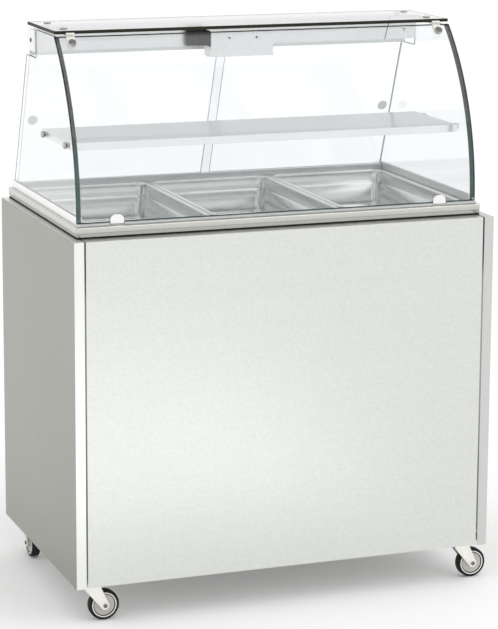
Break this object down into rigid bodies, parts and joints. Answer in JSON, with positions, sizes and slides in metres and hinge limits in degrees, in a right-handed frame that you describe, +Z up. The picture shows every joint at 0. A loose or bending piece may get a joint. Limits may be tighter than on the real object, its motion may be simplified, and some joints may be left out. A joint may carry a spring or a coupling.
{
  "type": "steam table unit",
  "caption": "Heated serving counter on castors: stainless cabinet, lift-out pans over a heated well, and a curved glass display with a shelf, lamp beam and sliding rear doors.",
  "frame": {"origin": "centre of the footprint on the floor, under the castors", "axes": "+Z up, +X to the customer's right, -Y towards the customer side with the curved glass, +Y towards the server side"},
  "size_m": [1.0875, 0.65, 1.396],
  "materials": {
    "brushed": "brushed stainless sheet, fine horizontal grain",
    "polished": "smooth bright stainless sheet",
    "satin": "satin light grey extruded and folded aluminium",
    "plated": "bright zinc plating on pressed and turned steel",
    "glass": "clear tempered glass with dark green edges",
    "lamp": "white coated lamp glass",
    "seal": "pale translucent silicone strip",
    "track": "satin extruded aluminium door track",
    "tyre": "black moulded rubber tyre",
    "hub": "grey moulded plastic hub",
    "black": "black moulded plastic",
    "red": "red moulded plastic",
    "brass": "cast and turned brass"
  },
  "bodies": {
    "cabinet": {"left_side_panel": "brushed", "right_side_panel": "brushed", "front_panel": "brushed", "base_shelf": "brushed", "control_panel": "brushed", "cable_gland": "black", "top_frame": "brushed", "well_tank": "brushed", "heater_element": "plated", "drain_valve": "brass", "left_glass_channel": "satin", "left_side_glass": "glass", "right_glass_channel": "satin", "right_side_glass": "glass", "front_seal": "seal", "top_glass": "glass", "left_hinge_bracket": "plated", "right_hinge_bracket": "plated", "lamp_beam": "satin", "lamp_tube": "lamp", "ballast_box": "satin", "display_shelf": "polished", "shelf_stud_left_front": "plated", "shelf_stud_left_back": "plated", "shelf_stud_right_front": "plated", "shelf_stud_right_back": "plated", "lower_door_track": "track", "upper_door_track": "track", "castor_front_left_plate": "plated", "castor_front_right_plate": "plated", "castor_rear_left_plate": "plated", "castor_rear_right_plate": "plated"},
    "curved_glass": {"front_glass": "glass", "left_glass_grip": "satin", "right_glass_grip": "satin", "left_hinge_clamp": "plated", "right_hinge_clamp": "plated"},
    "pan_left": {"food_pan_left": "polished"},
    "pan_middle": {"food_pan_middle": "polished"},
    "pan_right": {"food_pan_right": "polished"},
    "door_left": {"rear_door_left": "glass"},
    "door_right": {"rear_door_right": "glass"},
    "knob": {"thermostat_knob": "black"},
    "heat_switch": {"heat_switch": "red"},
    "light_switch": {"light_switch": "black"},
    "drain_handle": {"drain_lever": "red"},
    "castor_front_left_swivel_body": {"castor_front_left_fork": "plated"},
    "castor_front_left_wheel_body": {"castor_front_left_wheel": "hub", "castor_front_left_tyre": "tyre"},
    "castor_front_right_swivel_body": {"castor_front_right_fork": "plated"},
    "castor_front_right_wheel_body": {"castor_front_right_wheel": "hub", "castor_front_right_tyre": "tyre"},
    "castor_rear_left_swivel_body": {"castor_rear_left_fork": "plated"},
    "castor_rear_left_wheel_body": {"castor_rear_left_wheel": "hub", "castor_rear_left_tyre": "tyre"},
    "castor_rear_left_pedal": {"castor_rear_left_brake": "black"},
    "castor_rear_right_swivel_body": {"castor_rear_right_fork": "plated"},
    "castor_rear_right_wheel_body": {"castor_rear_right_wheel": "hub", "castor_rear_right_tyre": "tyre"},
    "castor_rear_right_pedal": {"castor_rear_right_brake": "black"}
  },
  "joints": [
    {"name": "curved_glass_lift", "type": "hinge", "parent": "cabinet", "child": "curved_glass", "pos_m": [0, -0.0947, 1.388], "axis": [-1, 0, 0], "range_deg": [0, 75]},
    {"name": "pan_left_lift", "type": "slide", "parent": "cabinet", "child": "pan_left", "axis": [0, 0, 1], "range_m": [0, 0.025]},
    {"name": "pan_middle_lift", "type": "slide", "parent": "cabinet", "child": "pan_middle", "axis": [0, 0, 1], "range_m": [0, 0.025]},
    {"name": "pan_right_lift", "type": "slide", "parent": "cabinet", "child": "pan_right", "axis": [0, 0, 1], "range_m": [0, 0.025]},
    {"name": "door_left_slide", "type": "slide", "parent": "cabinet", "child": "door_left", "axis": [1, 0, 0], "range_m": [0, 0.46]},
    {"name": "door_right_slide", "type": "slide", "parent": "cabinet", "child": "door_right", "axis": [-1, 0, 0], "range_m": [0, 0.46]},
    {"name": "knob_turn", "type": "hinge", "parent": "cabinet", "child": "knob", "pos_m": [-0.33, 0.305, 0.8545], "axis": [0, -1, 0], "range_deg": [0, 270]},
    {"name": "heat_switch_rock", "type": "hinge", "parent": "cabinet", "child": "heat_switch", "pos_m": [-0.23, 0.305, 0.8545], "axis": [-1, 0, 0], "range_deg": [0, 18]},
    {"name": "light_switch_rock", "type": "hinge", "parent": "cabinet", "child": "light_switch", "pos_m": [-0.18, 0.305, 0.8545], "axis": [-1, 0, 0], "range_deg": [0, 18]},
    {"name": "drain_turn", "type": "hinge", "parent": "cabinet", "child": "drain_handle", "pos_m": [0.38, 0.2133, 0.7157], "axis": [0, -1, 0], "range_deg": [0, 90]},
    {"name": "castor_front_left_swivel", "type": "hinge", "parent": "cabinet", "child": "castor_front_left_swivel_body", "pos_m": [-0.485, -0.276, 0.0938], "axis": [0, 0, 1], "continuous": true},
    {"name": "castor_front_left_roll", "type": "hinge", "parent": "castor_front_left_swivel_body", "child": "castor_front_left_wheel_body", "pos_m": [-0.455, -0.276, 0.0375], "axis": [0, 1, 0], "continuous": true},
    {"name": "castor_front_right_swivel", "type": "hinge", "parent": "cabinet", "child": "castor_front_right_swivel_body", "pos_m": [0.485, -0.276, 0.0938], "axis": [0, 0, 1], "continuous": true},
    {"name": "castor_front_right_roll", "type": "hinge", "parent": "castor_front_right_swivel_body", "child": "castor_front_right_wheel_body", "pos_m": [0.515, -0.276, 0.0375], "axis": [0, 1, 0], "continuous": true},
    {"name": "castor_rear_left_swivel", "type": "hinge", "parent": "cabinet", "child": "castor_rear_left_swivel_body", "pos_m": [-0.485, 0.276, 0.0938], "axis": [0, 0, 1], "continuous": true},
    {"name": "castor_rear_left_roll", "type": "hinge", "parent": "castor_rear_left_swivel_body", "child": "castor_rear_left_wheel_body", "pos_m": [-0.485, 0.246, 0.0375], "axis": [1, 0, 0], "continuous": true},
    {"name": "castor_rear_left_brake_press", "type": "hinge", "parent": "castor_rear_left_swivel_body", "child": "castor_rear_left_pedal", "pos_m": [-0.485, 0.29, 0.0792], "axis": [-1, 0, 0], "range_deg": [0, 15]},
    {"name": "castor_rear_right_swivel", "type": "hinge", "parent": "cabinet", "child": "castor_rear_right_swivel_body", "pos_m": [0.485, 0.276, 0.0938], "axis": [0, 0, 1], "continuous": true},
    {"name": "castor_rear_right_roll", "type": "hinge", "parent": "castor_rear_right_swivel_body", "child": "castor_rear_right_wheel_body", "pos_m": [0.485, 0.246, 0.0375], "axis": [1, 0, 0], "continuous": true},
    {"name": "castor_rear_right_brake_press", "type": "hinge", "parent": "castor_rear_right_swivel_body", "child": "castor_rear_right_pedal", "pos_m": [0.485, 0.29, 0.0792], "axis": [-1, 0, 0], "range_deg": [0, 15]}
  ]
}
